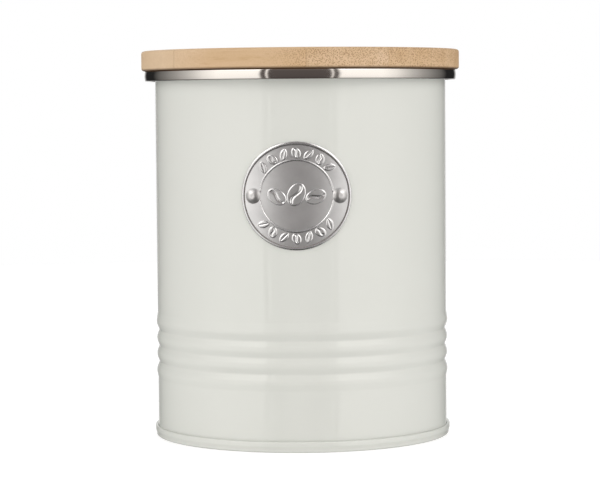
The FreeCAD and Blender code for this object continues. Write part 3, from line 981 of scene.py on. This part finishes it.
def stage():
    """Pale floor seen by the camera, a smaller unseen table top that lights the tin from
    below, and a white surround that only the camera sees."""
    ground = cad_box[0].z - GROUND_GAP
    seen = disc("floor", FLOOR_RADIUS, ground, colour=0.5, glow=0.66)
    table = disc("table_top", TABLE_RADIUS, ground - GROUND_GAP, colour=0.85, glow=0.0)
    for ray in ("camera", "glossy", "transmission", "shadow"):
        setattr(table, f"visible_{ray}", False)

    made = bmesh.new()
    bmesh.ops.create_icosphere(made, subdivisions=4, radius=BACKDROP_RADIUS)
    backdrop = finished("backdrop", made)
    white = bpy.data.materials.new("white_backdrop")
    white.use_nodes = True
    white.node_tree.nodes.clear()
    glow = white.node_tree.nodes.new("ShaderNodeEmission")
    output = white.node_tree.nodes.new("ShaderNodeOutputMaterial")
    white.node_tree.links.new(glow.outputs[0], output.inputs["Surface"])
    glow.inputs["Strength"].default_value = 1.0
    white.cycles.emission_sampling = "NONE"
    backdrop.data.materials.append(white)
    for piece in (seen, backdrop):
        for ray in ("diffuse", "glossy", "transmission", "volume_scatter", "shadow"):
            setattr(piece, f"visible_{ray}", False)


SIDE_FILL = 0.78
REAR_FILL = 1.0
FILL_SPREAD = math.radians(70)


def soft_sun(name, towards, strength):
    """Wide soft fill, shining towards a direction, that adds no reflection of its own."""
    lamp = bpy.data.lights.new(name, "SUN")
    lamp.energy = strength
    lamp.angle = FILL_SPREAD
    sun = bpy.data.objects.new(name, lamp)
    sun.rotation_euler = Vector(towards).to_track_quat("-Z", "Y").to_euler()
    sun.visible_glossy = False
    bpy.context.scene.collection.objects.link(sun)


CAMERA_SWING = math.radians(1.75)    # round the tin, from straight in front
CAMERA_DISTANCE = 0.8712
CAMERA_HEIGHT = 0.1246
CAMERA_PAN = math.radians(0.037)
CAMERA_DIP = math.radians(3.624)
CAMERA_ROLL = math.radians(-0.432)
CAMERA_LENS = 137.6


def camera():
    """Long lens a little above the badge, nearly level, slightly right of the badge."""
    data = bpy.data.cameras.new("camera")
    data.sensor_width = 36
    data.lens = CAMERA_LENS
    data.clip_end = 20
    view = bpy.data.objects.new("camera", data)
    pan = Matrix.Rotation(CAMERA_SWING + CAMERA_PAN, 4, "Z")
    tilt = Matrix.Rotation(math.pi / 2 - CAMERA_DIP, 4, "X")
    roll = Matrix.Rotation(CAMERA_ROLL, 4, "Z")
    spot = Matrix.Rotation(CAMERA_SWING, 4, "Z") @ Vector((0, -CAMERA_DISTANCE, CAMERA_HEIGHT))
    view.matrix_world = Matrix.Translation(spot) @ pan @ tilt @ roll
    bpy.context.scene.collection.objects.link(view)
    bpy.context.scene.camera = view
    bpy.context.scene.view_settings.view_transform = "Standard"


camera()
world_light()
soft_sun("left_fill", (0.866, 0.5, -0.06), SIDE_FILL)
soft_sun("right_fill", (-0.866, 0.5, -0.06), SIDE_FILL)
soft_sun("rear_fill", (0, -0.8, -0.6), REAR_FILL)
stage()

enamel = paint_finish()
tin_shell(enamel)
tin_base(enamel)
stamped_badge(badge_finish())
rivet_metal = rivet_finish()
dome_rivet("rivet_left", -1, rivet_metal, "badge_rivet_left")
dome_rivet("rivet_right", 1, rivet_metal, "badge_rivet_right")

trim_band(steel_finish())
lip_seal(silicone_finish())
for strip in range(1, BOARD_STRIPS + 1):
    seam = FIRST_SEAM - (strip - 2) * STRIP_WIDTH
    near = -seam if strip > 1 else -PAST_LID
    far = STRIP_WIDTH - seam if strip < BOARD_STRIPS else PAST_LID
    knot = BOARD_KNOT_REACH * math.sin(5.1 * strip) if 1 < strip < BOARD_STRIPS else None
    look = bamboo_finish(f"bamboo_board_{strip}", GRAIN_TURN, strip, near, far,
                         (BOARD_BOTTOM, LID_TOP), knot)
    board_strip(strip, look)
for strip in range(1, PLUG_STRIPS + 1):
    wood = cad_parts[f"plug_strip_{strip}"]
    wood.data.materials.clear()
    seam = (strip - PLUG_STRIPS / 2) * PLUG_WIDTH
    near = seam - PLUG_WIDTH if strip > 1 else -PAST_LID
    far = seam if strip < PLUG_STRIPS else PAST_LID
    knot = PLUG_KNOT_REACH * math.sin(3.7 * strip)
    look = bamboo_finish(f"bamboo_plug_{strip}", PLUG_TURN, strip + 9, near, far,
                         (plug_box[0].z, plug_box[1].z), knot)
    wood.data.materials.append(look)
screw_metal = screw_finish()
for number in range(1, 5):
    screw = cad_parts[f"lid_screw_{number}"]
    screw.data.materials.clear()
    screw.data.materials.append(screw_metal)
